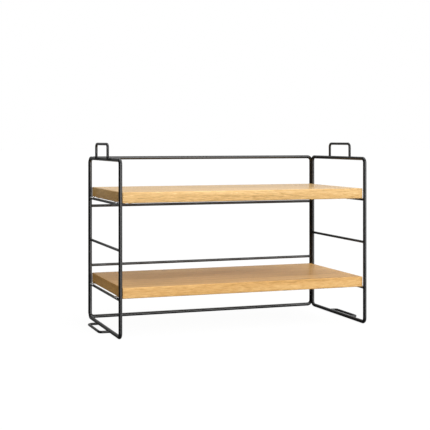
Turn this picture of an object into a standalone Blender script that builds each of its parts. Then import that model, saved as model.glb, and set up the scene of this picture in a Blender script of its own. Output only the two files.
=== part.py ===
"""Desk hutch: two oak shelf boards hung between welded wire side frames, with a wire back frame.

Units are metres. X runs across the width, Y from the open front (-Y) to the back frame (+Y), and Z up.
The origin is on the floor, at the middle of the whole object's plan.
"""

import math

import bmesh
import bpy
from mathutils import Matrix, Vector

# Driving dimensions
WIRE_RADIUS = 0.0035          # the heavy wire of the three rectangular frames
ROD_RADIUS = 0.0025           # the thin wire of the rungs and loops
CROSSBAR_RADIUS = 0.0028      # the wire of the back frame's cross bars
GAP = 0.0003                  # clearance where two pieces touch or are welded
SIDE_SPACING = 0.494          # between the planes of the two side frames
SIDE_DEPTH = 0.2411           # between the front and the rear post of a side frame
FRAME_RISE = 0.3214           # between the bottom and the top bar of every frame
CORNER_RADIUS = 0.0085        # centre line of the frame wire's bends
BACK_INSET = 0.001            # each upright of the back frame stands this far inside the side frame's plane

BOARD_LENGTH = 0.4860
BOARD_DEPTH = 0.2415
BOARD_THICKNESS = 0.0198
BOARD_ARRIS = 0.0015          # rounding of every board edge
BOARD_FRONT_SETBACK = 0.0010  # board's front face behind the centre of the front posts
SHELF_HEIGHTS = {"upper": 0.2467, "lower": 0.0735}  # underside of each board
RUNG_BELOW_BOARD = 0.0024     # rung centre below the board's underside
MIDDLE_RUNG_HEIGHT = 0.1608
CROSSBAR_HEIGHTS = {"upper": 0.2281, "lower": 0.1079}

LOOP_SPAN = 0.0915            # between the legs of a loop
LOOP_BEND = 0.0070
TOP_LOOP_OFFSET = 0.0050      # outboard of the side frame's plane
TOP_LOOP_RISE = 0.0289        # loop's top above the centre of the top bar
TOP_LOOP_TAIL = 0.0015        # legs reach this far below the centre of the top bar
FOOT_LOOP_REACH = 0.0207      # outer bar's distance from the side frame's plane

STRIP_WIDTH = 0.0160          # shelf hook: a bent steel strip
STRIP_THICKNESS = 0.0015
STRIP_UNDER_BOARD = 0.0285
STRIP_LIP_END = 0.0010        # the lip ends this far above the rung's centre
STRIP_INNER_BEND = 0.0008
HOOK_FROM_CENTRE = 0.0958     # each hook's distance from the middle of the side frame's depth
REBATE_MARGIN = 0.0005
SCREW_SETBACKS = (0.0090, 0.0205)  # from the board's end to each screw
SHANK_RADIUS = 0.00175
SCREW_HEAD_RADIUS = 0.0035
SCREW_HEAD_HEIGHT = 0.0022
SCREW_LENGTH = 0.0130         # below the head, tip included
SCREW_TIP = 0.0030
RECESS_SPAN = 0.0042
RECESS_SLOT = 0.0009
RECESS_DEPTH = 0.0012

# Facets
FRAME_SIDES = 16
ROD_SIDES = 12
BEND_STEPS = 4

# Places worked out from the dimensions above
SIDE_X = SIDE_SPACING / 2
BOTTOM_BAR_Z = WIRE_RADIUS
TOP_BAR_Z = BOTTOM_BAR_Z + FRAME_RISE
POST_TO_BACK = math.sqrt((2 * WIRE_RADIUS + GAP) ** 2 - BACK_INSET ** 2)
OVERALL_DEPTH = SIDE_DEPTH + POST_TO_BACK + 2 * WIRE_RADIUS
FRONT_POST_Y = WIRE_RADIUS - OVERALL_DEPTH / 2
REAR_POST_Y = FRONT_POST_Y + SIDE_DEPTH
SIDE_MID_Y = (FRONT_POST_Y + REAR_POST_Y) / 2
BACK_Y = REAR_POST_Y + POST_TO_BACK
BACK_X = SIDE_X - BACK_INSET
BOARD_MID_Y = FRONT_POST_Y + BOARD_FRONT_SETBACK + BOARD_DEPTH / 2
SIDES = {"left": -1, "right": 1}
HOOK_MIDDLE = SIDE_MID_Y - BOARD_MID_Y      # from the middle of the board's depth
HOOK_PLACES = {"front": HOOK_MIDDLE - HOOK_FROM_CENTRE, "rear": HOOK_MIDDLE + HOOK_FROM_CENTRE}
STRIP_BOTTOM = ROD_RADIUS - RUNG_BELOW_BOARD + GAP  # above the board's underside
STRIP_TOP = STRIP_BOTTOM + STRIP_THICKNESS


def clear_scene():
    for obj in list(bpy.data.objects):
        bpy.data.objects.remove(obj, do_unlink=True)


def principled(name, colour, roughness, metallic):
    material = bpy.data.materials.new(name)
    material.use_nodes = True
    shader = material.node_tree.nodes["Principled BSDF"]
    shader.inputs["Base Color"].default_value = (*colour, 1.0)
    shader.inputs["Roughness"].default_value = roughness
    shader.inputs["Metallic"].default_value = metallic
    return material


def add_object(name, mesh, material, parent=None):
    obj = bpy.data.objects.new(name, mesh)
    bpy.context.scene.collection.objects.link(obj)
    if not mesh.materials:
        mesh.materials.append(material)
    obj.parent = parent
    return obj


def add_cutter(name, mesh):
    obj = bpy.data.objects.new(name, mesh)
    bpy.context.scene.collection.objects.link(obj)
    obj.hide_render = True
    obj.display_type = "WIRE"
    return obj


def cut(obj, cutter):
    modifier = obj.modifiers.new("cut_" + cutter.name, "BOOLEAN")
    modifier.operation = "DIFFERENCE"
    modifier.solver = "EXACT"
    modifier.object = cutter


def to_mesh(bm, name, smooth_angle=None):
    bmesh.ops.recalc_face_normals(bm, faces=bm.faces)
    mesh = bpy.data.meshes.new(name)
    bm.to_mesh(mesh)
    bm.free()
    if smooth_angle is not None:
        mesh.shade_smooth()
        mesh.set_sharp_from_angle(angle=math.radians(smooth_angle))
    return mesh


def rounded_path(corners, bend, closed):
    """Points along straight runs joined by arcs: each corner of the outline becomes one bend."""
    path = []
    count = len(corners)
    for i, corner in enumerate(corners):
        if not closed and i in (0, count - 1):
            path.append(corner.copy())
            continue
        back = (corners[i - 1] - corner).normalized()
        ahead = (corners[(i + 1) % count] - corner).normalized()
        centre = corner + (back + ahead) * bend
        for step in range(BEND_STEPS + 1):
            angle = math.pi / 2 * step / BEND_STEPS
            path.append(centre - ahead * (bend * math.cos(angle)) - back * (bend * math.sin(angle)))
    return path


def wire(path, radius, sides, closed, normal):
    """A round wire swept along a flat path. The normal is square to the path's plane."""
    bm = bmesh.new()
    rings = []
    count = len(path)
    for i, point in enumerate(path):
        before = path[i - 1] if closed or i else point
        after = path[(i + 1) % count] if closed or i < count - 1 else point
        along = (after - point).normalized() + (point - before).normalized()
        along.normalize()
        across = normal.cross(along)
        ring = []
        for k in range(sides):
            angle = 2 * math.pi * k / sides
            offset = across * (radius * math.cos(angle)) + normal * (radius * math.sin(angle))
            ring.append(bm.verts.new(point + offset))
        rings.append(ring)
    last = count if closed else count - 1
    for i in range(last):
        ring, following = rings[i], rings[(i + 1) % count]
        for k in range(sides):
            nxt = (k + 1) % sides
            bm.faces.new((ring[k], ring[nxt], following[nxt], following[k]))
    if not closed:
        bm.faces.new(list(reversed(rings[0])))
        bm.faces.new(rings[-1])
    return bm


def cylinder(centre, axis, radius, length, sides):
    """A closed cylinder whose middle is at centre."""
    bm = bmesh.new()
    turn = Vector((0, 0, 1)).rotation_difference(axis).to_matrix().to_4x4()
    bmesh.ops.create_cone(
        bm,
        cap_ends=True,
        segments=sides,
        radius1=radius,
        radius2=radius,
        depth=length,
        matrix=Matrix.Translation(centre) @ turn,
    )
    return bm


def box(low, high):
    bm = bmesh.new()
    size = high - low
    middle = Matrix.Translation((low + high) / 2)
    bmesh.ops.create_cube(bm, size=1.0, matrix=middle @ Matrix.Diagonal((*size, 1.0)))
    return bm


def joined(parts):
    """One bmesh holding the closed shapes of several, for a cutter."""
    whole = bmesh.new()
    for part in parts:
        mesh = bpy.data.meshes.new("piece")
        part.to_mesh(mesh)
        part.free()
        whole.from_mesh(mesh)
        bpy.data.meshes.remove(mesh)
    return whole


def upright_cutters(name, places, axis, length):
    """Cylinders a gap wider than the frame wire, which cope the ends of the rods that meet it."""
    parts = [cylinder(place, axis, WIRE_RADIUS + GAP, length, 2 * FRAME_SIDES) for place in places]
    return add_cutter(name, to_mesh(joined(parts), name))


def frame_outline(name, corners, normal, material, parent):
    path = rounded_path(corners, CORNER_RADIUS, closed=True)
    mesh = to_mesh(wire(path, WIRE_RADIUS, FRAME_SIDES, True, normal), name, 40)
    return add_object(name, mesh, material, parent)


def rod(name, start, end, radius, normal, material, parent, cutters):
    mesh = to_mesh(wire([start, end], radius, ROD_SIDES, False, normal), name, 40)
    obj = add_object(name, mesh, material, parent)
    for cutter in cutters:
        cut(obj, cutter)
    return obj


def loop(name, corners, normal, material, parent, cutters):
    path = rounded_path(corners, LOOP_BEND, closed=False)
    mesh = to_mesh(wire(path, ROD_RADIUS, ROD_SIDES, False, normal), name, 40)
    obj = add_object(name, mesh, material, parent)
    for cutter in cutters:
        cut(obj, cutter)
    return obj


def side_frame(side, sign, material):
    """One end of the hutch: a rectangular outline, three rungs, and the loops welded to its outer face."""
    x = sign * SIDE_X
    outward = Vector((1, 0, 0))
    hub = bpy.data.objects.new(side + "_side", None)
    bpy.context.scene.collection.objects.link(hub)
    frame_outline(
        side + "_frame_outline",
        [
            Vector((x, FRONT_POST_Y, BOTTOM_BAR_Z)),
            Vector((x, FRONT_POST_Y, TOP_BAR_Z)),
            Vector((x, REAR_POST_Y, TOP_BAR_Z)),
            Vector((x, REAR_POST_Y, BOTTOM_BAR_Z)),
        ],
        outward,
        material,
        hub,
    )
    middle_z = (BOTTOM_BAR_Z + TOP_BAR_Z) / 2
    posts = upright_cutters(
        side + "_post_cope",
        [Vector((x, FRONT_POST_Y, middle_z)), Vector((x, REAR_POST_Y, middle_z))],
        Vector((0, 0, 1)),
        FRAME_RISE,
    )
    rungs = {
        "upper_shelf_rung": SHELF_HEIGHTS["upper"] - RUNG_BELOW_BOARD,
        "middle_rung": MIDDLE_RUNG_HEIGHT,
        "lower_shelf_rung": SHELF_HEIGHTS["lower"] - RUNG_BELOW_BOARD,
    }
    for rung, z in rungs.items():
        start = Vector((x, FRONT_POST_Y, z))
        end = Vector((x, REAR_POST_Y, z))
        rod(side + "_" + rung, start, end, ROD_RADIUS, outward, material, hub, [posts])
    bars = upright_cutters(
        side + "_bar_cope",
        [Vector((x, SIDE_MID_Y, TOP_BAR_Z)), Vector((x, SIDE_MID_Y, BOTTOM_BAR_Z))],
        Vector((0, 1, 0)),
        SIDE_DEPTH,
    )
    top_x = x + sign * TOP_LOOP_OFFSET
    tail_z = TOP_BAR_Z - TOP_LOOP_TAIL
    crown_z = TOP_BAR_Z + TOP_LOOP_RISE
    low_y = SIDE_MID_Y - LOOP_SPAN / 2
    high_y = SIDE_MID_Y + LOOP_SPAN / 2
    loop(
        side + "_top_loop",
        [
            Vector((top_x, low_y, tail_z)),
            Vector((top_x, low_y, crown_z)),
            Vector((top_x, high_y, crown_z)),
            Vector((top_x, high_y, tail_z)),
        ],
        outward,
        material,
        hub,
        [bars],
    )
    reach_x = x + sign * FOOT_LOOP_REACH
    loop(
        side + "_foot_loop",
        [
            Vector((x, low_y, ROD_RADIUS)),
            Vector((reach_x, low_y, ROD_RADIUS)),
            Vector((reach_x, high_y, ROD_RADIUS)),
            Vector((x, high_y, ROD_RADIUS)),
        ],
        Vector((0, 0, 1)),
        material,
        hub,
        [bars],
    )


def back_frame(material):
    backward = Vector((0, 1, 0))
    hub = bpy.data.objects.new("back_frame", None)
    bpy.context.scene.collection.objects.link(hub)
    frame_outline(
        "back_frame_outline",
        [
            Vector((-BACK_X, BACK_Y, BOTTOM_BAR_Z)),
            Vector((-BACK_X, BACK_Y, TOP_BAR_Z)),
            Vector((BACK_X, BACK_Y, TOP_BAR_Z)),
            Vector((BACK_X, BACK_Y, BOTTOM_BAR_Z)),
        ],
        backward,
        material,
        hub,
    )
    middle_z = (BOTTOM_BAR_Z + TOP_BAR_Z) / 2
    uprights = upright_cutters(
        "back_upright_cope",
        [Vector((-BACK_X, BACK_Y, middle_z)), Vector((BACK_X, BACK_Y, middle_z))],
        Vector((0, 0, 1)),
        FRAME_RISE,
    )
    for level, z in CROSSBAR_HEIGHTS.items():
        start = Vector((-BACK_X, BACK_Y, z))
        end = Vector((BACK_X, BACK_Y, z))
        rod("back_" + level + "_crossbar", start, end, CROSSBAR_RADIUS, backward, material, hub, [uprights])


def hook_mesh(material):
    """A strip that lies in the board's rebate, passes over the rung and turns down its outer face.

    Its own frame has the board's end at x = 0, the board's underside at z = 0, and the rung towards +X.
    """
    end_gap = SIDE_X - BOARD_LENGTH / 2
    inner = end_gap + ROD_RADIUS + GAP
    outer = inner + STRIP_THICKNESS
    lip_z = STRIP_LIP_END - RUNG_BELOW_BOARD
    outer_bend = STRIP_INNER_BEND + STRIP_THICKNESS
    profile = [(-STRIP_UNDER_BOARD, STRIP_BOTTOM)]
    for radius in (STRIP_INNER_BEND, outer_bend):
        arc = []
        for step in range(BEND_STEPS + 1):
            angle = math.pi / 2 * (1 - step / BEND_STEPS)
            x = inner - STRIP_INNER_BEND + radius * math.cos(angle)
            z = STRIP_BOTTOM - STRIP_INNER_BEND + radius * math.sin(angle)
            arc.append((x, z))
        if radius == STRIP_INNER_BEND:
            profile += arc + [(inner, lip_z), (outer, lip_z)]
        else:
            profile += list(reversed(arc))
    profile.append((-STRIP_UNDER_BOARD, STRIP_TOP))
    bm = bmesh.new()
    face = bm.faces.new([bm.verts.new((x, -STRIP_WIDTH / 2, z)) for x, z in profile])
    moved = bmesh.ops.extrude_face_region(bm, geom=[face])["geom"]
    verts = [item for item in moved if isinstance(item, bmesh.types.BMVert)]
    bmesh.ops.translate(bm, verts=verts, vec=(0, STRIP_WIDTH, 0))
    at_end = [
        edge
        for edge in bm.edges
        if all(abs(vert.co.x + STRIP_UNDER_BOARD) < 1e-6 for vert in edge.verts)
        and abs(edge.verts[0].co.y - edge.verts[1].co.y) < 1e-6
    ]
    bmesh.ops.bevel(bm, geom=at_end, offset=0.003, segments=3, affect="EDGES", profile=0.5)
    blank = bpy.data.objects.new("hook_blank", to_mesh(bm, "hook_blank"))
    bpy.context.scene.collection.objects.link(blank)
    middle_z = (STRIP_BOTTOM + STRIP_TOP) / 2
    holes = [
        cylinder(
            Vector((-setback, 0, middle_z)),
            Vector((0, 0, 1)),
            SHANK_RADIUS + GAP,
            4 * STRIP_THICKNESS,
            ROD_SIDES,
        )
        for setback in SCREW_SETBACKS
    ]
    return baked(blank, add_cutter("hook_holes", to_mesh(joined(holes), "hook_holes")), material)


def baked(blank, cutter, material):
    """The blank's mesh with the cutter's shape removed. Both helper objects are taken away."""
    cut(blank, cutter)
    graph = bpy.context.evaluated_depsgraph_get()
    mesh = bpy.data.meshes.new_from_object(blank.evaluated_get(graph))
    bpy.data.objects.remove(blank, do_unlink=True)
    bpy.data.objects.remove(cutter, do_unlink=True)
    mesh.materials.clear()
    mesh.materials.append(material)
    mesh.shade_smooth()
    mesh.set_sharp_from_angle(angle=math.radians(35))
    return mesh


def screw_mesh(material):
    """A pan-head wood screw that points up, with the underside of its head at z = 0."""
    head = SCREW_HEAD_RADIUS
    height = SCREW_HEAD_HEIGHT
    profile = [
        (0, -height),
        (head * 0.60, -height),
        (head * 0.90, -height * 0.68),
        (head, -height * 0.30),
        (head, 0),
        (SHANK_RADIUS, 0),
        (SHANK_RADIUS, SCREW_LENGTH - SCREW_TIP),
        (0, SCREW_LENGTH),
    ]
    bm = bmesh.new()
    verts = [bm.verts.new((x, 0, z)) for x, z in profile]
    edges = [bm.edges.new(pair) for pair in zip(verts, verts[1:])]
    bmesh.ops.spin(
        bm,
        geom=verts + edges,
        cent=(0, 0, 0),
        axis=(0, 0, 1),
        angle=2 * math.pi,
        steps=ROD_SIDES,
        use_merge=True,
    )
    bmesh.ops.remove_doubles(bm, verts=bm.verts, dist=1e-6)
    blank = bpy.data.objects.new("screw_blank", to_mesh(bm, "screw_blank"))
    bpy.context.scene.collection.objects.link(blank)
    across, slot = RECESS_SPAN / 2, RECESS_SLOT / 2
    floor_z = RECESS_DEPTH - height
    bm = bmesh.new()
    outline = []
    for turn in range(4):
        spin = Matrix.Rotation(math.pi / 2 * turn, 3, "Z")
        for x, y in ((slot, -slot), (across, -slot), (across, slot)):
            outline.append(bm.verts.new(spin @ Vector((x, y, -2 * height))))
    face = bm.faces.new(outline)
    moved = bmesh.ops.extrude_face_region(bm, geom=[face])["geom"]
    verts = [item for item in moved if isinstance(item, bmesh.types.BMVert)]
    bmesh.ops.translate(bm, verts=verts, vec=(0, 0, floor_z + 2 * height))
    return baked(blank, add_cutter("screw_recess", to_mesh(bm, "screw_recess")), material)


def shelf(level, wood, zinc, hook, screw):
    """A board with its four hooks, each held by two screws."""
    underside = SHELF_HEIGHTS[level]
    half = BOARD_LENGTH / 2
    hub = bpy.data.objects.new(level + "_shelf", None)
    bpy.context.scene.collection.objects.link(hub)
    hub.location = (0, BOARD_MID_Y, underside)
    bm = box(
        Vector((-half, -BOARD_DEPTH / 2, 0)),
        Vector((half, BOARD_DEPTH / 2, BOARD_THICKNESS)),
    )
    bmesh.ops.bevel(
        bm,
        geom=list(bm.edges),
        offset=BOARD_ARRIS,
        segments=3,
        affect="EDGES",
        profile=0.5,
    )
    board = add_object(level + "_shelf_board", to_mesh(bm, level + "_shelf_board", 40), wood, hub)
    rebates, pilots = [], []
    for side, sign in SIDES.items():
        for place, y in HOOK_PLACES.items():
            inboard = sign * (half - STRIP_UNDER_BOARD - REBATE_MARGIN)
            outboard = sign * (half + BOARD_ARRIS)
            width = STRIP_WIDTH / 2 + REBATE_MARGIN
            rebates.append(
                box(
                    Vector((min(inboard, outboard), y - width, -BOARD_ARRIS)),
                    Vector((max(inboard, outboard), y + width, STRIP_TOP + GAP)),
                )
            )
            strip = add_object("_".join((level, side, place, "hook")), hook, zinc, hub)
            strip.location = (sign * half, y, 0)
            strip.rotation_euler = (0, 0, 0 if sign > 0 else math.pi)
            for name, setback in zip(("outer", "inner"), SCREW_SETBACKS):
                x = sign * (half - setback)
                fastener = add_object("_".join((level, side, place, name, "screw")), screw, zinc, hub)
                fastener.location = (x, y, STRIP_BOTTOM - GAP)
                pilot_top = STRIP_BOTTOM - GAP + SCREW_LENGTH + GAP
                pilots.append(
                    cylinder(
                        Vector((x, y, pilot_top / 2)),
                        Vector((0, 0, 1)),
                        SHANK_RADIUS + GAP,
                        pilot_top,
                        ROD_SIDES,
                    )
                )
    for name, parts in (("rebates", rebates), ("pilots", pilots)):
        cutter = add_cutter(level + "_" + name, to_mesh(joined(parts), level + "_" + name))
        cutter.parent = hub
        cut(board, cutter)


def main():
    clear_scene()
    steel = principled("black_powder_coat", (0.012, 0.012, 0.013), 0.42, 0.0)
    wood = principled("oak", (0.80, 0.55, 0.30), 0.5, 0.0)
    zinc = principled("zinc_plate", (0.72, 0.73, 0.74), 0.3, 1.0)
    for side, sign in SIDES.items():
        side_frame(side, sign, steel)
    back_frame(steel)
    hook = hook_mesh(zinc)
    screw = screw_mesh(zinc)
    for level in SHELF_HEIGHTS:
        shelf(level, wood, zinc, hook, screw)


main()
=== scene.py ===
"""Looks of the desk hutch: welded wire frames in black powder coat, lacquered oak boards, zinc hooks.

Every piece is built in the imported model's frame, in metres: +X along the boards, -Y the open front, +Z up.
"""

import math

import bmesh
import bpy
from mathutils import Matrix, Vector


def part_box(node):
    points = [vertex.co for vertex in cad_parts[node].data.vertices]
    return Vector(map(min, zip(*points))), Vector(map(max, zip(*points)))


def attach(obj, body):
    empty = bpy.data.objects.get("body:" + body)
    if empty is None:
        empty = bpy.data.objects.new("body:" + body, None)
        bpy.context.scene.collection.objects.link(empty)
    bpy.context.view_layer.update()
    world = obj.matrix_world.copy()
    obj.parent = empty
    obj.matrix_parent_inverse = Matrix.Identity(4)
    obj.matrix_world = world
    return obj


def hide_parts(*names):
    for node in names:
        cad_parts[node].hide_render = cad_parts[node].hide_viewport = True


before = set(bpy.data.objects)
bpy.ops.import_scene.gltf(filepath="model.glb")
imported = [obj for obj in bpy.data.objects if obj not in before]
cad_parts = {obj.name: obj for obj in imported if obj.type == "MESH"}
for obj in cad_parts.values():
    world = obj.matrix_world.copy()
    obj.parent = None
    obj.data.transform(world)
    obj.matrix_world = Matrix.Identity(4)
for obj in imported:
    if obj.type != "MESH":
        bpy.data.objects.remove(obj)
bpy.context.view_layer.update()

BODY = "root"

X_AXIS = Vector((1, 0, 0))
Y_AXIS = Vector((0, 1, 0))
UP = Vector((0, 0, 1))
SAME_PLACE = 1e-6             # points nearer than this are one point
SHARP_ANGLE = 40              # degrees, for wires and boards
PRESSED_ANGLE = 35            # degrees, for hooks and screws

# Powder coat. Densities are in features to the metre
COAT_COLOURS = [(0.30, (0.0085, 0.0085, 0.0090)), (0.72, (0.0150, 0.0150, 0.0155))]
COAT_ROUGHNESS = (0.25, 0.35)
COAT_SPECULAR = 0.70
PEEL_DENSITY = 650.0          # orange peel
GRIT_DENSITY = 2600.0
GRIT_SHARE = 0.25             # of the relief, beside the peel
DRIFT_DENSITY = 38.0          # slow changes of shade
COAT_RELIEF = 0.00006
COAT_RELIEF_STRENGTH = 0.6

# Zinc plate
ZINC_COLOURS = [(0.30, (0.60, 0.62, 0.66)), (0.52, (0.73, 0.74, 0.75)), (0.75, (0.78, 0.76, 0.71))]
ROLLED_TINT = (0.70, 0.70, 0.72)
ROLLED_AMOUNT = (0.0, 0.35)
ROLLED_RANGE = (0.35, 0.75)   # of the line noise
ROLLED_STRETCH = (60.0, 2200.0, 2200.0)
CLOUD_DENSITY = 260.0
ZINC_ROUGHNESS = (0.22, 0.36)
ZINC_RELIEF = 0.00002
ZINC_RELIEF_STRENGTH = 0.6

# Oak. Each pattern has its density along the fibres and across them
GRAIN_TILT = (0.0, 0.120, 0.030)
BANDS = (2.6, 75.0)
BAND_SHARE = 0.38
STREAKS = (55.0, 900.0)
STREAK_SHARE = 0.62
PORES = (85.0, 2600.0)
FLECKS = (60.0, 700.0)
OAK_COLOURS = [
    (0.38, (0.480, 0.288, 0.098)),
    (0.46, (0.690, 0.406, 0.155)),
    (0.54, (0.770, 0.482, 0.200)),
    (0.61, (0.890, 0.598, 0.286)),
]
FLECK_COLOUR = (0.920, 0.680, 0.330)
FLECK_AMOUNT = (0.0, 0.35)
FLECK_RANGE = (0.66, 0.78)    # of the fleck noise
PORE_COLOUR = (0.330, 0.165, 0.060)
PORE_RANGE = (0.60, 0.70)     # of the pore noise
PORE_AMOUNT = 0.38
OAK_ROUGHNESS = (0.34, 0.46)
PORE_ROUGHNESS = 0.15         # added in a pore
STREAK_RELIEF_SHARE = 0.4     # beside the depth of a pore
OAK_RELIEF = 0.00008
OAK_RELIEF_STRENGTH = 0.5
OAK_SPECULAR = 0.12
LACQUER_IOR = 1.22
LACQUER_ROUGHNESS = 0.12
# Colour factors of each board. The lower board's darker, warmer factors are partly its own tone and partly
# painted shade: the shade under the upper board, and the dim things its top reflects.
BOARD_TONES_AND_SHADE = {"upper": (0.94, 0.97, 0.97), "lower": (0.83, 0.78, 0.68)}
BOARD_LACQUER = {"upper": 0.40, "lower": 0.05}  # weight of the clear coat
END_TONE = (1.06, 0.97, 0.78)  # the board ends beside the faces
NOISE_MIDDLE = (0.3, 0.7)     # the part of a noise that most of its values lie in

# Wire work
FRAME_BEND = 0.0085           # centre-line radius of the frame outlines' corners
LOOP_BEND = 0.0070            # centre-line radius of the loops' corners
FRAME_SIDES = 32
ROD_SIDES = 24
BEND_STEPS = 12
FILLET = 0.0008               # throat of the weld round the foot of a rod
FILLET_STEPS = 5
END_ROUNDING = 0.0004         # softened rim of a cut rod end
END_STEPS = 3

# Weld beads: the loops' are measured in radii of the loop's rod or of the bar, the posts' in bar radii
BEAD_SIDES = 16
BEAD_RIPPLES = 5
BEAD_SWELL = 0.07
LOOP_WELD_INWARD = 0.55       # rod radii from the leg's centre towards the bar
LOOP_WELD_ASIDE = 0.92        # rod radii to each side of the leg
LOOP_WELD_RAISE = 0.25        # bar radii above the bar's centre
LOOP_WELD_LENGTH = 1.5        # bar radii
LOOP_WELD_RADIUS = 0.42       # rod radii
POST_WELD_FROM_BAR = 0.055    # metres from the top and bottom bars to the outer welds
POST_WELD_LENGTH = 0.012
POST_WELD_ASIDE = 0.52        # bar radii to each side of the seam
POST_WELD_RADIUS = 0.45       # bar radii

# Boards
ARRIS = 0.0015                # rounding of every board edge
ARRIS_STEPS = 8
GAP = 0.0003                  # clearance round a part that sits in the board
REBATE_MARGIN = 0.0005
END_GRAIN_SHARE = 0.72        # a face whose normal has more of X than this is an end

# Hooks and screws
STRIP_THICKNESS = 0.0015
STRIP_INNER_BEND = 0.0008
STRIP_CORNER = 0.0030         # rounding of the strip's inboard corners
STRIP_CORNER_STEPS = 8
STRIP_EDGE = 0.00018          # softened edge of the strip
STRIP_EDGE_STEPS = 2
STRIP_EDGE_ANGLE = 50         # degrees
SHANK_RADIUS = 0.00175
HEAD_HEIGHT = 0.0022
HEAD_FLAT = 0.52              # of the head's radius
DOME_SHARE = 0.72             # of the head's height
DOME_STEPS = 8
SCREW_TIP = 0.0030
RECESS_SPAN = 0.0042
RECESS_SLOT = 0.0009
RECESS_DEPTH = 0.0012
SCREW_SIDES = 32
SLIVER = 0.000005             # a face thinner than this, left by the recess cut, is closed up

# Stage, light and camera
FLOOR_SIZE = 30.0
FLOOR_DROP = 0.0002           # below the object, so that the two never share a plane
FLOOR_COLOUR = (0.05, 0.05, 0.05, 1.0)
FLOOR_ROUGHNESS = 0.9
FLOOR_GLOW = 0.96
WHITE = (1.0, 1.0, 1.0, 1.0)
ROOM_BRIGHT_SIDE = (0.85, 0.30, 0.40)
ROOM_SPAN = (-0.12, 0.90)     # cosine from the bright side, from the dimmest place to the brightest
ROOM_LEVELS = (0.02, 0.80)
# Each soft light: the direction it comes from, strength, spread in degrees, and whether gloss shows it
SOFT_LIGHTS = {
    "key": ((0.62, -0.66, 0.62), 2.0, 38, False),
    "front": ((0.22, -1.0, 0.22), 2.3, 50, True),
    "left": ((-1.0, -0.30, 0.25), 1.15, 60, False),
    "overhead": ((0.10, 0.10, 1.0), 1.2, 60, True),
    "bounce": ((0.10, 0.45, -1.0), 0.8, 60, False),
}
CAMERA_PLACE = (-0.73063, -1.98159, 0.36174)
CAMERA_TURN = -19.704         # degrees from +Y, clockwise seen from above
CAMERA_SENSOR = 36.0
CAMERA_LENS = 88.57
CAMERA_SHIFT = -0.17475


def new_object(name, mesh):
    obj = bpy.data.objects.new(name, mesh)
    bpy.context.scene.collection.objects.link(obj)
    return obj


def shade(mesh, sharp_angle):
    """Smooth shading, apart from edges that turn by more than this many degrees."""
    mesh.shade_smooth()
    mesh.set_sharp_from_angle(angle=math.radians(sharp_angle))


def to_mesh(bm, name):
    bmesh.ops.recalc_face_normals(bm, faces=bm.faces)
    mesh = bpy.data.meshes.new(name)
    bm.to_mesh(mesh)
    bm.free()
    shade(mesh, SHARP_ANGLE)
    return mesh


def piece(node, mesh, materials):
    """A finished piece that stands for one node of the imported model."""
    for material in materials:
        mesh.materials.append(material)
    obj = new_object(node + "_fine", mesh)
    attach(obj, BODY)
    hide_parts(node)


def baked(blank, modifiers_of):
    """The blank's mesh after the modifiers that the function adds. The blank is taken away."""
    modifiers_of(blank)
    graph = bpy.context.evaluated_depsgraph_get()
    mesh = bpy.data.meshes.new_from_object(blank.evaluated_get(graph))
    bpy.data.objects.remove(blank, do_unlink=True)
    return mesh


# ---------------------------------------------------------------- materials


class Nodes:
    """Adds and links shader nodes in a few words."""

    def __init__(self, name):
        self.material = bpy.data.materials.new(name)
        self.material.use_nodes = True
        self.tree = self.material.node_tree
        self.shader = self.tree.nodes["Principled BSDF"]

    def add(self, kind, **settings):
        node = self.tree.nodes.new(kind)
        for key, value in settings.items():
            setattr(node, key, value)
        return node

    def link(self, source, target):
        self.tree.links.new(source, target)

    def places(self, scale, tilt=(0.0, 0.0, 0.0)):
        """Object coordinates, turned by tilt and stretched by scale."""
        coords = self.add("ShaderNodeTexCoord")
        mapping = self.add("ShaderNodeMapping")
        mapping.inputs["Rotation"].default_value = tilt
        mapping.inputs["Scale"].default_value = scale
        self.link(coords.outputs["Object"], mapping.inputs["Vector"])
        return mapping.outputs["Vector"]

    def noise(self, vector, scale, detail=2.0, roughness=0.5, distortion=0.0):
        noise = self.add("ShaderNodeTexNoise")
        noise.inputs["Scale"].default_value = scale
        noise.inputs["Detail"].default_value = detail
        noise.inputs["Roughness"].default_value = roughness
        noise.inputs["Distortion"].default_value = distortion
        self.link(vector, noise.inputs["Vector"])
        return noise.outputs["Fac"]

    def ramp(self, source, stops):
        ramp = self.add("ShaderNodeValToRGB")
        elements = ramp.color_ramp.elements
        while len(elements) < len(stops):
            elements.new(0.5)
        for element, (place, colour) in zip(elements, stops):
            element.position = place
            element.color = (*colour, 1.0)
        self.link(source, ramp.inputs["Fac"])
        return ramp.outputs["Color"]

    def spread(self, source, before, after):
        """The source's values taken from one range to another, clamped. Each range is (low, high)."""
        mapped = self.add("ShaderNodeMapRange")
        mapped.inputs["From Min"].default_value, mapped.inputs["From Max"].default_value = before
        mapped.inputs["To Min"].default_value, mapped.inputs["To Max"].default_value = after
        self.link(source, mapped.inputs["Value"])
        return mapped.outputs["Result"]

    def math(self, operation, first, second):
        node = self.add("ShaderNodeMath", operation=operation)
        for socket, value in zip(node.inputs, (first, second)):
            if isinstance(value, float):
                socket.default_value = value
            else:
                self.link(value, socket)
        return node.outputs["Value"]

    def mix(self, blend, factor, first, second):
        """Two colours mixed. Sockets 6, 7 and 2 are this node's colour ones."""
        node = self.add("ShaderNodeMix", data_type="RGBA", blend_type=blend)
        sockets = (node.inputs["Factor"], node.inputs[6], node.inputs[7])
        for socket, value in zip(sockets, (factor, first, second)):
            if isinstance(value, float):
                socket.default_value = value
            elif isinstance(value, tuple):
                socket.default_value = (*value, 1.0)
            else:
                self.link(value, socket)
        return node.outputs[2]

    def bump(self, height, distance, strength):
        bump = self.add("ShaderNodeBump")
        bump.inputs["Distance"].default_value = distance
        bump.inputs["Strength"].default_value = strength
        self.link(height, bump.inputs["Height"])
        self.link(bump.outputs["Normal"], self.shader.inputs["Normal"])


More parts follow.
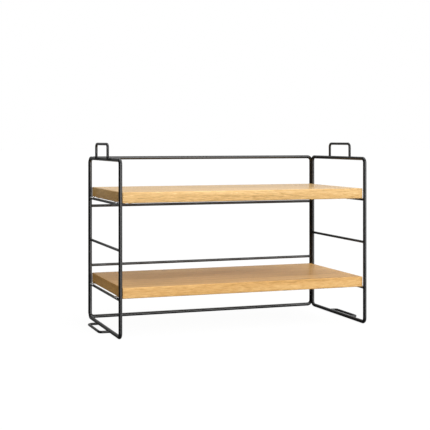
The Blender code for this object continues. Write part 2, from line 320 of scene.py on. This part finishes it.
def powder_coat():
    """Satin black powder coat: orange peel about 1.5 mm across, and a fine grit in its gloss."""
    nodes = Nodes("black_powder_coat_fine")
    place = nodes.places((1.0, 1.0, 1.0))
    peel = nodes.noise(place, PEEL_DENSITY, detail=3.0, roughness=0.55)
    grit = nodes.noise(place, GRIT_DENSITY)
    drift = nodes.noise(place, DRIFT_DENSITY, detail=3.0)
    nodes.link(nodes.ramp(drift, COAT_COLOURS), nodes.shader.inputs["Base Color"])
    nodes.link(nodes.spread(grit, NOISE_MIDDLE, COAT_ROUGHNESS), nodes.shader.inputs["Roughness"])
    nodes.shader.inputs["Specular IOR Level"].default_value = COAT_SPECULAR
    height = nodes.math("ADD", peel, nodes.math("MULTIPLY", grit, GRIT_SHARE))
    nodes.bump(height, COAT_RELIEF, COAT_RELIEF_STRENGTH)
    return nodes.material


def zinc_plate():
    """Bright zinc on cold-rolled strip: rolling lines along the strip and a faint blue passivation."""
    nodes = Nodes("zinc_plate_fine")
    lines = nodes.noise(nodes.places(ROLLED_STRETCH), 1.0, detail=3.0)
    cloud = nodes.noise(nodes.places((1.0, 1.0, 1.0)), CLOUD_DENSITY, detail=3.0)
    tint = nodes.ramp(cloud, ZINC_COLOURS)
    rolled = nodes.spread(lines, ROLLED_RANGE, ROLLED_AMOUNT)
    nodes.link(nodes.mix("MULTIPLY", rolled, tint, ROLLED_TINT), nodes.shader.inputs["Base Color"])
    nodes.shader.inputs["Metallic"].default_value = 1.0
    nodes.link(nodes.spread(cloud, NOISE_MIDDLE, ZINC_ROUGHNESS), nodes.shader.inputs["Roughness"])
    nodes.bump(lines, ZINC_RELIEF, ZINC_RELIEF_STRENGTH)
    return nodes.material


def oak(name, grain, tone_and_shade, lacquer):
    """Lacquered oak. grain gives the stretch along each axis: small along the fibres, large across them.

    tone_and_shade is the colour that darkens or warms this wood, painted shade included where a board's
    factors hold it, and lacquer the weight of its clear coat.
    """
    nodes = Nodes(name)

    def pattern(densities, tilt=GRAIN_TILT, **settings):
        return nodes.noise(nodes.places(grain(*densities), tilt), 1.0, **settings)

    bands = pattern(BANDS, detail=3.0, roughness=0.55, distortion=0.6)
    streaks = pattern(STREAKS, detail=3.0, roughness=0.60, distortion=0.9)
    pores = pattern(PORES)
    flecks = pattern(FLECKS, tilt=(0.0, 0.0, 0.0), detail=1.0)
    band_part = nodes.math("MULTIPLY", bands, BAND_SHARE)
    streak_part = nodes.math("MULTIPLY", streaks, STREAK_SHARE)
    base = nodes.ramp(nodes.math("ADD", band_part, streak_part), OAK_COLOURS)
    pore = nodes.spread(pores, PORE_RANGE, (0.0, 1.0))
    fleck = nodes.spread(flecks, FLECK_RANGE, FLECK_AMOUNT)
    flecked = nodes.mix("MIX", fleck, base, FLECK_COLOUR)
    porous = nodes.mix("MIX", nodes.math("MULTIPLY", pore, PORE_AMOUNT), flecked, PORE_COLOUR)
    # the board's own tone, with the painted shade that the lower board's factors carry
    nodes.link(nodes.mix("MULTIPLY", 1.0, porous, tone_and_shade), nodes.shader.inputs["Base Color"])
    streak_roughness = nodes.spread(streaks, NOISE_MIDDLE, OAK_ROUGHNESS)
    roughness = nodes.math("ADD", streak_roughness, nodes.math("MULTIPLY", pore, PORE_ROUGHNESS))
    nodes.link(roughness, nodes.shader.inputs["Roughness"])
    nodes.shader.inputs["Specular IOR Level"].default_value = OAK_SPECULAR
    nodes.shader.inputs["Coat Weight"].default_value = lacquer
    nodes.shader.inputs["Coat IOR"].default_value = LACQUER_IOR
    nodes.shader.inputs["Coat Roughness"].default_value = LACQUER_ROUGHNESS
    height = nodes.math("SUBTRACT", nodes.math("MULTIPLY", streaks, STREAK_RELIEF_SHARE), pore)
    nodes.bump(height, OAK_RELIEF, OAK_RELIEF_STRENGTH)
    return nodes.material


def along_board(fibre, cross):
    return (fibre, cross, cross)


def along_end(fibre, cross):
    return (cross, fibre, cross)


# ---------------------------------------------------------------- wire work


def rounded_path(corners, bend, closed):
    """Points along straight runs joined by arcs, one arc of this radius at each corner."""
    path = []
    count = len(corners)
    for i, corner in enumerate(corners):
        if not closed and i in (0, count - 1):
            path.append(corner.copy())
            continue
        back = (corners[i - 1] - corner).normalized()
        ahead = (corners[(i + 1) % count] - corner).normalized()
        centre = corner + (back + ahead) * bend
        for step in range(BEND_STEPS + 1):
            angle = math.pi / 2 * step / BEND_STEPS
            path.append(centre - ahead * (bend * math.cos(angle)) - back * (bend * math.sin(angle)))
    return path


def ring(centre, across, normal, radius, sides):
    """Points round a circle, from across towards normal."""
    points = []
    for k in range(sides):
        turn = 2 * math.pi * k / sides
        points.append(centre + across * (radius * math.cos(turn)) + normal * (radius * math.sin(turn)))
    return points


def path_rings(path, radius, sides, closed, normal):
    """A circle at each point of the path, square to it. The normal is square to the path's plane."""
    rings = []
    count = len(path)
    for i, point in enumerate(path):
        before = path[i - 1] if closed or i else point
        after = path[(i + 1) % count] if closed or i < count - 1 else point
        along = (after - point).normalized() + (point - before).normalized()
        rings.append(ring(point, normal.cross(along.normalized()), normal, radius, sides))
    return rings


def skin(bm, rings, closed):
    """Faces between the rings, which lie in order along the wire. Open wires get a cap at each end."""
    made = [[bm.verts.new(point) for point in points] for points in rings]
    count = len(made)
    sides = len(made[0])
    for i in range(count if closed else count - 1):
        here, following = made[i], made[(i + 1) % count]
        for k in range(sides):
            nxt = (k + 1) % sides
            bm.faces.new((here[k], here[nxt], following[nxt], following[k]))
    if not closed:
        bm.faces.new(list(reversed(made[0])))
        bm.faces.new(made[-1])


def foot_rings(foot, away, across, normal, radius, bar):
    """The rings of a rod's welded foot, from inside the bar out to the plain rod.

    bar is a point on the bar's centre line, its axis and its radius. away points from the bar along the rod.
    """
    bar_point, bar_axis, bar_radius = bar
    side = bar_axis.cross(away)
    throat = min(FILLET, bar_radius - radius)   # the weld is never wider than the bar
    steps = [(radius + throat, -throat)]
    for step in range(FILLET_STEPS + 1):
        angle = math.pi / 2 * step / FILLET_STEPS
        steps.append((radius + throat * (1 - math.sin(angle)), throat * (1 - math.cos(angle))))
    rings = []
    for wide, rise in steps:
        points = []
        for point in ring(foot, across, normal, wide, ROD_SIDES):
            aside = (point - bar_point).dot(side)
            depth = math.sqrt(max(bar_radius ** 2 - aside ** 2, 0.0))
            point += away * ((bar_point - foot).dot(away) + depth + rise)
            point.z = max(point.z, 0.0)
            points.append(point)
        rings.append(points)
    return rings


def cut_rings(end, away, across, normal, radius):
    """The rings of a plain cut end with a softened rim, from the cap to the full rod."""
    rings = []
    for step in range(END_STEPS + 1):
        angle = math.pi / 2 * step / END_STEPS
        narrow = radius - END_ROUNDING * (1 - math.sin(angle))
        place = end + away * (END_ROUNDING * (1 - math.cos(angle)))
        rings.append(ring(place, across, normal, narrow, ROD_SIDES))
    return rings


def bead(bm, centre, along, length, radius):
    """A short run of weld metal: a lump with the ripples of the weld pool across it."""
    turn = UP.rotation_difference(along).to_matrix().to_4x4()
    ball = bmesh.ops.create_uvsphere(bm, u_segments=BEAD_SIDES, v_segments=BEAD_SIDES, radius=1.0)
    made = ball["verts"]
    for vert in made:
        swell = 1 + BEAD_SWELL * math.cos(BEAD_RIPPLES * math.pi * vert.co.z)
        vert.co = Vector((vert.co.x * radius * swell, vert.co.y * radius * swell, vert.co.z * length / 2))
    bmesh.ops.transform(bm, matrix=Matrix.Translation(centre) @ turn, verts=made)


def outline_piece(node, normal, material):
    """A rectangular frame bent from one round wire. The normal is square to its plane.

    Returns the corners of its centre line, up the near side and down the far one, and the wire's radius.
    """
    low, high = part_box(node)
    radius = (high - low).dot(normal) / 2
    near = low + Vector((radius, radius, radius))
    far = high - Vector((radius, radius, radius))
    corners = []
    for side, height in ((near, near), (near, far), (far, far), (far, near)):
        if normal.x:
            corners.append(Vector((near.x, side.y, height.z)))
        else:
            corners.append(Vector((side.x, near.y, height.z)))
    bm = bmesh.new()
    skin(bm, path_rings(rounded_path(corners, FRAME_BEND, True), radius, FRAME_SIDES, True, normal), True)
    piece(node, to_mesh(bm, node + "_fine"), [material])
    return corners, radius


def rod_piece(node, start, end, normal, bar_axis, bar_radius, material):
    """A straight rod welded between two bars, whose axes pass through start and end."""
    low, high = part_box(node)
    radius = (high.z - low.z) / 2
    along = (end - start).normalized()
    across = normal.cross(along)
    rings = foot_rings(start, along, across, normal, radius, (start, bar_axis, bar_radius))
    rings += reversed(foot_rings(end, -along, across, normal, radius, (end, bar_axis, bar_radius)))
    bm = bmesh.new()
    skin(bm, rings, False)
    piece(node, to_mesh(bm, node + "_fine"), [material])


def top_loop_piece(node, plane_x, bar_z, bar_radius, material):
    """A handle-shaped loop that stands on the top bar, welded against the bar's outer face."""
    low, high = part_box(node)
    radius = (high.x - low.x) / 2
    x = (low.x + high.x) / 2
    near, far, crown, tail = low.y + radius, high.y - radius, high.z - radius, low.z
    corners = [Vector((x, y, z)) for y, z in ((near, tail), (near, crown), (far, crown), (far, tail))]
    path = rounded_path(corners, LOOP_BEND, False)
    start = cut_rings(path[0], UP, X_AXIS.cross(UP), X_AXIS, radius)
    end = cut_rings(path[-1], UP, X_AXIS.cross(-UP), X_AXIS, radius)
    rings = start + path_rings(path, radius, ROD_SIDES, False, X_AXIS)[1:-1] + list(reversed(end))
    bm = bmesh.new()
    skin(bm, rings, False)
    toward_bar = math.copysign(1.0, plane_x - x)
    weld_x = x + toward_bar * radius * LOOP_WELD_INWARD
    weld_z = bar_z + bar_radius * LOOP_WELD_RAISE
    for y in (near, far):
        for step in (-1, 1):
            place = Vector((weld_x, y + step * radius * LOOP_WELD_ASIDE, weld_z))
            bead(bm, place, UP, bar_radius * LOOP_WELD_LENGTH, radius * LOOP_WELD_RADIUS)
    piece(node, to_mesh(bm, node + "_fine"), [material])


def foot_loop_piece(node, plane_x, bar_z, bar_radius, material):
    """A flat loop on the floor, welded to the outer face of the bottom bar."""
    low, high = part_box(node)
    radius = (high.z - low.z) / 2
    outward = math.copysign(1.0, plane_x)
    reach = (high.x if outward > 0 else low.x) - outward * radius
    z = low.z + radius
    near, far = low.y + radius, high.y - radius
    corners = [Vector((x, y, z)) for x, y in ((plane_x, near), (reach, near), (reach, far), (plane_x, far))]
    path = rounded_path(corners, LOOP_BEND, False)
    away = Vector((outward, 0, 0))

    def foot(place, along):
        bar_point = Vector((plane_x, place.y, bar_z))
        return foot_rings(place, away, UP.cross(along), UP, radius, (bar_point, Y_AXIS, bar_radius))

    start, end = foot(path[0], away), foot(path[-1], -away)
    rings = start + path_rings(path, radius, ROD_SIDES, False, UP)[1:-1] + list(reversed(end))
    bm = bmesh.new()
    skin(bm, rings, False)
    piece(node, to_mesh(bm, node + "_fine"), [material])


def side_frame(side, material):
    """One end of the hutch. Returns the foot of its rear post's centre line, on the floor."""
    corners, bar_radius = outline_piece(side + "_frame_outline", X_AXIS, material)
    x, front_y, bottom_z = corners[0]
    rear_y, top_z = corners[2].y, corners[2].z
    for name in ("upper_shelf_rung", "middle_rung", "lower_shelf_rung"):
        node = side + "_" + name
        low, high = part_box(node)
        z = (low.z + high.z) / 2
        start, end = Vector((x, front_y, z)), Vector((x, rear_y, z))
        rod_piece(node, start, end, X_AXIS, UP, bar_radius, material)
    top_loop_piece(side + "_top_loop", x, top_z, bar_radius, material)
    foot_loop_piece(side + "_foot_loop", x, bottom_z, bar_radius, material)
    return Vector((x, rear_y, 0))


def back_frame(rear_posts, material):
    """The back frame, its two cross bars, and the weld runs that hold it to the rear posts."""
    corners, bar_radius = outline_piece("back_frame_outline", Y_AXIS, material)
    y, low_z, high_z = corners[0].y, corners[0].z, corners[1].z
    for name in ("back_upper_crossbar", "back_lower_crossbar"):
        low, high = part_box(name)
        z = (low.z + high.z) / 2
        start, end = Vector((corners[0].x, y, z)), Vector((corners[2].x, y, z))
        rod_piece(name, start, end, Y_AXIS, UP, bar_radius, material)
    heights = (low_z + POST_WELD_FROM_BAR, (low_z + high_z) / 2, high_z - POST_WELD_FROM_BAR)
    for post, back_x in zip(rear_posts, (corners[0].x, corners[2].x)):
        side = "left" if post.x < 0 else "right"
        bm = bmesh.new()
        outward = math.copysign(1.0, post.x)
        middle = (post + Vector((back_x, y, 0))) / 2
        for z in heights:
            for face in (-1, 1):
                place = middle + Vector((outward * face * bar_radius * POST_WELD_ASIDE, 0, z))
                bead(bm, place, UP, POST_WELD_LENGTH, bar_radius * POST_WELD_RADIUS)
        mesh = to_mesh(bm, side + "_rear_post_welds")
        mesh.materials.append(material)
        obj = new_object(side + "_rear_post_welds", mesh)
        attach(obj, BODY)


# ---------------------------------------------------------------- boards, hooks and screws


def block(low, high):
    bm = bmesh.new()
    middle = Matrix.Translation((low + high) / 2)
    bmesh.ops.create_cube(bm, size=1.0, matrix=middle @ Matrix.Diagonal((*(high - low), 1.0)))
    return bm


def cylinder(bm, centre, radius, length, sides):
    bmesh.ops.create_cone(
        bm,
        cap_ends=True,
        segments=sides,
        radius1=radius,
        radius2=radius,
        depth=length,
        matrix=Matrix.Translation(centre),
    )


def subtract(cutter):
    """A function that adds a Boolean cut by this object to another."""

    def add(obj):
        modifier = obj.modifiers.new("cut", "BOOLEAN")
        modifier.operation = "DIFFERENCE"
        modifier.solver = "EXACT"
        modifier.object = cutter

    return add


def cut_mesh(mesh, cutters):
    """The mesh with each cutter's shape removed, one after another."""
    for cutter_bm in cutters:
        blank = new_object("blank", mesh)
        cutter = new_object("cutter", to_mesh(cutter_bm, "cutter"))
        mesh = baked(blank, subtract(cutter))
        bpy.data.objects.remove(cutter, do_unlink=True)
    return mesh


def hook_names(level):
    return ["_".join((level, side, place)) for side in ("left", "right") for place in ("front", "rear")]


def board_piece(level, face_oak, end_oak):
    """A shelf board with softened arrises, a rebate for each hook, and a pilot hole for each screw."""
    node = level + "_shelf_board"
    low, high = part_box(node)
    bm = block(low, high)
    edges = list(bm.edges)
    bmesh.ops.bevel(bm, geom=edges, offset=ARRIS, segments=ARRIS_STEPS, affect="EDGES", profile=0.5)
    cutters = []
    for name in hook_names(level):
        hook_low, hook_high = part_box(name + "_hook")
        outboard = math.copysign(high.x + ARRIS, hook_low.x)
        inboard = hook_low.x if outboard > 0 else hook_high.x
        inboard -= math.copysign(REBATE_MARGIN, outboard)
        cutters.append(
            block(
                Vector((min(inboard, outboard), hook_low.y - REBATE_MARGIN, low.z - ARRIS)),
                Vector((max(inboard, outboard), hook_high.y + REBATE_MARGIN, hook_high.z + GAP)),
            )
        )
        for place in ("_outer_screw", "_inner_screw"):
            screw_low, screw_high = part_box(name + place)
            centre = (screw_low + screw_high) / 2
            centre.z = screw_high.z + GAP - (screw_high.z - low.z) / 2
            hole = bmesh.new()
            cylinder(hole, centre, SHANK_RADIUS + GAP, screw_high.z - low.z, ROD_SIDES)
            cutters.append(hole)
    mesh = cut_mesh(to_mesh(bm, node), cutters)
    shade(mesh, SHARP_ANGLE)
    piece(node, mesh, [face_oak, end_oak])
    for polygon in mesh.polygons:
        polygon.material_index = int(abs(polygon.normal.x) > END_GRAIN_SHARE)


def hook_piece(name, material):
    """A bent strip that lies under the board, passes over the rung and turns down its outer face."""
    node = name + "_hook"
    low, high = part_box(node)
    outward = math.copysign(1.0, low.x)
    tip = high.x if outward > 0 else low.x
    heel = low.x if outward > 0 else high.x
    inner = tip - outward * STRIP_THICKNESS
    top, bottom = high.z, high.z - STRIP_THICKNESS
    arcs = {}
    for radius in (STRIP_INNER_BEND, STRIP_INNER_BEND + STRIP_THICKNESS):
        arc = []
        for step in range(BEND_STEPS + 1):
            angle = math.pi / 2 * (1 - step / BEND_STEPS)
            x = inner - outward * (STRIP_INNER_BEND - radius * math.cos(angle))
            arc.append((x, bottom - STRIP_INNER_BEND + radius * math.sin(angle)))
        arcs[radius] = arc
    inside, outside = arcs.values()
    profile = [(heel, bottom), *inside, (inner, low.z), (tip, low.z), *reversed(outside), (heel, top)]
    bm = bmesh.new()
    face = bm.faces.new([bm.verts.new((x, low.y, z)) for x, z in profile])
    moved = bmesh.ops.extrude_face_region(bm, geom=[face])["geom"]
    verts = [item for item in moved if isinstance(item, bmesh.types.BMVert)]
    bmesh.ops.translate(bm, verts=verts, vec=(0, high.y - low.y, 0))
    corners = [
        edge
        for edge in bm.edges
        if all(abs(vert.co.x - heel) < SAME_PLACE for vert in edge.verts)
        and abs(edge.verts[0].co.y - edge.verts[1].co.y) < SAME_PLACE
    ]
    bmesh.ops.bevel(
        bm,
        geom=corners,
        offset=STRIP_CORNER,
        segments=STRIP_CORNER_STEPS,
        affect="EDGES",
        profile=0.5,
    )
    holes = bmesh.new()
    for place in ("_outer_screw", "_inner_screw"):
        screw_low, screw_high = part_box(name + place)
        centre = (screw_low + screw_high) / 2
        centre.z = (top + bottom) / 2
        cylinder(holes, centre, SHANK_RADIUS + GAP, 4 * STRIP_THICKNESS, ROD_SIDES)
    mesh = cut_mesh(to_mesh(bm, node), [holes])

    def soften(obj):
        modifier = obj.modifiers.new("edge", "BEVEL")
        modifier.width = STRIP_EDGE
        modifier.segments = STRIP_EDGE_STEPS
        modifier.limit_method = "ANGLE"
        modifier.angle_limit = math.radians(STRIP_EDGE_ANGLE)

    mesh = baked(new_object("strip", mesh), soften)
    shade(mesh, PRESSED_ANGLE)
    piece(node, mesh, [material])


def close_slivers(mesh):
    """Merges points and drops faces that a cut has left nearly on top of each other."""
    bm = bmesh.new()
    bm.from_mesh(mesh)
    bmesh.ops.remove_doubles(bm, verts=bm.verts, dist=SLIVER)
    bmesh.ops.dissolve_degenerate(bm, dist=SLIVER, edges=bm.edges)
    bm.to_mesh(mesh)
    bm.free()


def screw_piece(node, material):
    """A pan-head wood screw that points up, with a cross recess in its head."""
    low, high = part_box(node)
    centre = (low + high) / 2
    head = (high.x - low.x) / 2
    profile = [(0.0, 0.0)]
    for step in range(DOME_STEPS + 1):
        angle = math.pi / 2 * step / DOME_STEPS
        wide = head * (HEAD_FLAT + (1 - HEAD_FLAT) * math.sin(angle))
        profile.append((wide, HEAD_HEIGHT * DOME_SHARE * (1 - math.cos(angle))))
    profile += [
        (head, HEAD_HEIGHT),
        (SHANK_RADIUS, HEAD_HEIGHT),
        (SHANK_RADIUS, high.z - low.z - SCREW_TIP),
        (0.0, high.z - low.z),
    ]
    bm = bmesh.new()
    verts = [bm.verts.new((x, 0, z)) for x, z in profile]
    edges = [bm.edges.new(pair) for pair in zip(verts, verts[1:])]
    bmesh.ops.spin(
        bm,
        geom=verts + edges,
        cent=(0, 0, 0),
        axis=(0, 0, 1),
        angle=2 * math.pi,
        steps=SCREW_SIDES,
        use_merge=True,
    )
    bmesh.ops.remove_doubles(bm, verts=bm.verts, dist=SAME_PLACE)
    recess = bmesh.new()
    across, slot = RECESS_SPAN / 2, RECESS_SLOT / 2
    outline = []
    for turn in range(4):
        spin = Matrix.Rotation(math.pi / 2 * turn, 3, "Z")
        for x, y in ((slot, -slot), (across, -slot), (across, slot)):
            outline.append(recess.verts.new(spin @ Vector((x, y, -HEAD_HEIGHT))))
    face = recess.faces.new(outline)
    moved = bmesh.ops.extrude_face_region(recess, geom=[face])["geom"]
    verts = [item for item in moved if isinstance(item, bmesh.types.BMVert)]
    bmesh.ops.translate(recess, verts=verts, vec=(0, 0, HEAD_HEIGHT + RECESS_DEPTH))
    mesh = cut_mesh(to_mesh(bm, node), [recess])
    close_slivers(mesh)
    shade(mesh, PRESSED_ANGLE)
    mesh.transform(Matrix.Translation((centre.x, centre.y, low.z)))
    piece(node, mesh, [material])


# ---------------------------------------------------------------- stage, light and camera


def floor():
    """A pale floor, seen only from above, so that the underside can be looked at too."""
    bm = bmesh.new()
    bmesh.ops.create_grid(bm, x_segments=1, y_segments=1, size=FLOOR_SIZE)
    obj = new_object("floor", to_mesh(bm, "floor"))
    obj.location.z = -FLOOR_DROP
    nodes = Nodes("floor")
    nodes.shader.inputs["Base Color"].default_value = FLOOR_COLOUR
    nodes.shader.inputs["Roughness"].default_value = FLOOR_ROUGHNESS
    nodes.shader.inputs["Specular IOR Level"].default_value = 0.0
    nodes.shader.inputs["Emission Color"].default_value = WHITE
    nodes.shader.inputs["Emission Strength"].default_value = FLOOR_GLOW
    geometry = nodes.add("ShaderNodeNewGeometry")
    clear = nodes.add("ShaderNodeBsdfTransparent")
    mixed = nodes.add("ShaderNodeMixShader")
    output = nodes.tree.nodes["Material Output"]
    nodes.link(geometry.outputs["Backfacing"], mixed.inputs["Fac"])
    nodes.link(nodes.shader.outputs["BSDF"], mixed.inputs[1])
    nodes.link(clear.outputs["BSDF"], mixed.inputs[2])
    nodes.link(mixed.outputs["Shader"], output.inputs["Surface"])
    obj.data.materials.append(nodes.material)
    obj.visible_glossy = False
    obj.visible_diffuse = False


def soft_sun(name, toward, strength, spread, glossy):
    """A wide, soft light that comes from the direction toward."""
    light = bpy.data.lights.new(name, "SUN")
    light.energy = strength
    light.angle = math.radians(spread)
    obj = new_object(name, light)
    obj.visible_glossy = glossy
    obj.rotation_euler = Vector(toward).to_track_quat("Z", "Y").to_euler()


def studio():
    """White behind the object, and a room that is bright on the right and above, dim on the left.

    The camera sees the white, and everything else is lit by the room.
    """
    world = bpy.data.worlds.new("studio")
    bpy.context.scene.world = world
    world.use_nodes = True
    tree = world.node_tree
    links = tree.links
    nodes = tree.nodes
    output = nodes["World Output"]
    room = nodes["Background"]
    room.inputs["Color"].default_value = WHITE
    white = nodes.new("ShaderNodeBackground")
    white.inputs["Color"].default_value = WHITE
    white.inputs["Strength"].default_value = 1.0
    coords = nodes.new("ShaderNodeTexCoord")
    side = nodes.new("ShaderNodeVectorMath")
    side.operation = "DOT_PRODUCT"
    side.inputs[1].default_value = Vector(ROOM_BRIGHT_SIDE).normalized()
    level = nodes.new("ShaderNodeMapRange")
    level.inputs["From Min"].default_value, level.inputs["From Max"].default_value = ROOM_SPAN
    level.inputs["To Min"].default_value, level.inputs["To Max"].default_value = ROOM_LEVELS
    path = nodes.new("ShaderNodeLightPath")
    mixed = nodes.new("ShaderNodeMixShader")
    links.new(coords.outputs["Generated"], side.inputs[0])
    links.new(side.outputs["Value"], level.inputs["Value"])
    links.new(level.outputs["Result"], room.inputs["Strength"])
    links.new(path.outputs["Is Camera Ray"], mixed.inputs["Fac"])
    links.new(room.outputs["Background"], mixed.inputs[1])
    links.new(white.outputs["Background"], mixed.inputs[2])
    links.new(mixed.outputs["Shader"], output.inputs["Surface"])
    for name, settings in SOFT_LIGHTS.items():
        soft_sun(name, *settings)
    bpy.context.scene.view_settings.view_transform = "Standard"


def camera():
    """The photograph's view: level, from the front left, with the lens shifted down."""
    data = bpy.data.cameras.new("camera")
    data.sensor_width = CAMERA_SENSOR
    data.lens = CAMERA_LENS
    data.shift_y = CAMERA_SHIFT
    obj = new_object("camera", data)
    obj.location = CAMERA_PLACE
    obj.rotation_euler = (math.radians(90), 0, math.radians(CAMERA_TURN))
    bpy.context.scene.camera = obj


def main():
    camera()
    studio()
    floor()
    steel = powder_coat()
    zinc = zinc_plate()
    rear_posts = [side_frame(side, steel) for side in ("left", "right")]
    back_frame(rear_posts, steel)
    # each board's colour factors; the lower board's hold painted shade as well as its tone
    for level, tone_and_shade in BOARD_TONES_AND_SHADE.items():
        lacquer = BOARD_LACQUER[level]
        face_oak = oak(level + "_oak_face", along_board, tone_and_shade, lacquer)
        end_tone_and_shade = tuple(part * warmth for part, warmth in zip(tone_and_shade, END_TONE))
        end_oak = oak(level + "_oak_end", along_end, end_tone_and_shade, lacquer)
        board_piece(level, face_oak, end_oak)
        for name in hook_names(level):
            hook_piece(name, zinc)
            for place in ("_outer_screw", "_inner_screw"):
                screw_piece(name + place, zinc)


main()
